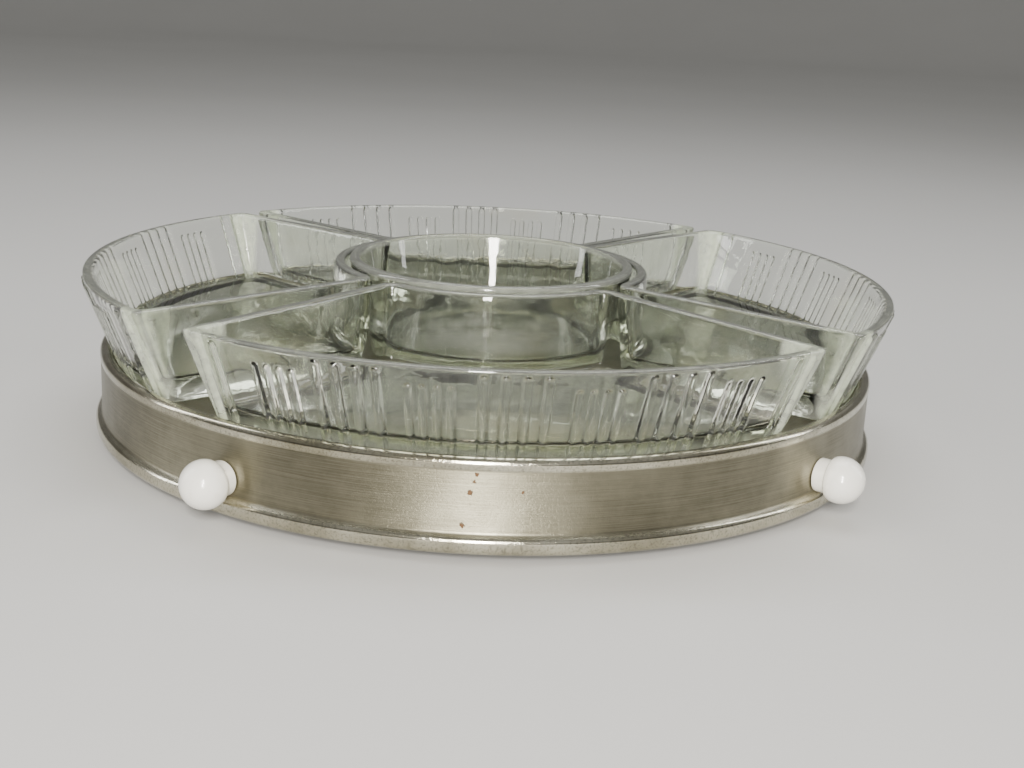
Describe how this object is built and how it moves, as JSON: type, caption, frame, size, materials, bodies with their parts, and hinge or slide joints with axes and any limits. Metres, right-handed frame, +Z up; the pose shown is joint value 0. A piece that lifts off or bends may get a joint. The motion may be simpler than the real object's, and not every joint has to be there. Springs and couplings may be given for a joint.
{
  "type": "lazy susan turntable",
  "caption": "Round plated steel turntable on a ball bearing, with ball knobs on its band, carrying ribbed sector-shaped glass relish dishes around a round glass centre dish.",
  "frame": {"origin": "centre of the footprint, on the table that the rubber feet stand on", "axes": "+Z up along the turning axis, -Y towards the front dish, +X to its right"},
  "size_m": [0.3052, 0.3052, 0.065],
  "materials": {
    "plated_pan": "satin band with polished bead and bulge, lightly pitted",
    "clear_glass": "clear pressed glass",
    "knob_white": "gloss",
    "base_steel": "dark stove enamel",
    "zinc_steel": "bright zinc plate",
    "race_steel": "rolled steel, light oil",
    "ball_steel": "polished",
    "brass": "turned",
    "foot_rubber": "matt"
  },
  "bodies": {
    "base": {"base_plate": "base_steel", "pivot_bush": "brass", "lower_race": "race_steel", "race_rivets": "zinc_steel", "foot_front": "foot_rubber", "foot_right": "foot_rubber", "foot_back": "foot_rubber", "foot_left": "foot_rubber", "foot_rivets": "zinc_steel"},
    "ball_cage": {"ball_retainer": "race_steel", "bearing_balls": "ball_steel"},
    "tray": {"tray_pan": "plated_pan", "upper_race": "race_steel", "pivot_stud": "zinc_steel", "pivot_washer": "zinc_steel", "pivot_nut": "zinc_steel", "knob_screws": "zinc_steel", "knob_washers": "zinc_steel", "knob_front_left": "knob_white", "knob_front_right": "knob_white", "knob_back_right": "knob_white", "knob_back_left": "knob_white"},
    "front_dish_glass": {"front_dish": "clear_glass"},
    "right_dish_glass": {"right_dish": "clear_glass"},
    "back_dish_glass": {"back_dish": "clear_glass"},
    "left_dish_glass": {"left_dish": "clear_glass"},
    "centre_dish_glass": {"centre_dish": "clear_glass"}
  },
  "joints": [
    {"name": "tray_spin", "type": "hinge", "parent": "base", "child": "tray", "pos_m": [0, 0, 0.022], "axis": [0, 0, 1], "continuous": true},
    {"name": "cage_spin", "type": "hinge", "parent": "base", "child": "ball_cage", "pos_m": [0, 0, 0.022], "axis": [0, 0, 1], "continuous": true},
    {"name": "front_dish_lift", "type": "slide", "parent": "tray", "child": "front_dish_glass", "axis": [0, 0, 1], "range_m": [0, 0.06]},
    {"name": "right_dish_lift", "type": "slide", "parent": "tray", "child": "right_dish_glass", "axis": [0, 0, 1], "range_m": [0, 0.06]},
    {"name": "back_dish_lift", "type": "slide", "parent": "tray", "child": "back_dish_glass", "axis": [0, 0, 1], "range_m": [0, 0.06]},
    {"name": "left_dish_lift", "type": "slide", "parent": "tray", "child": "left_dish_glass", "axis": [0, 0, 1], "range_m": [0, 0.06]},
    {"name": "centre_dish_lift", "type": "slide", "parent": "tray", "child": "centre_dish_glass", "axis": [0, 0, 1], "range_m": [0, 0.06]}
  ],
  "couplings": [
    {"joint": "cage_spin", "follows": "tray_spin", "ratio": 0.5}
  ]
}
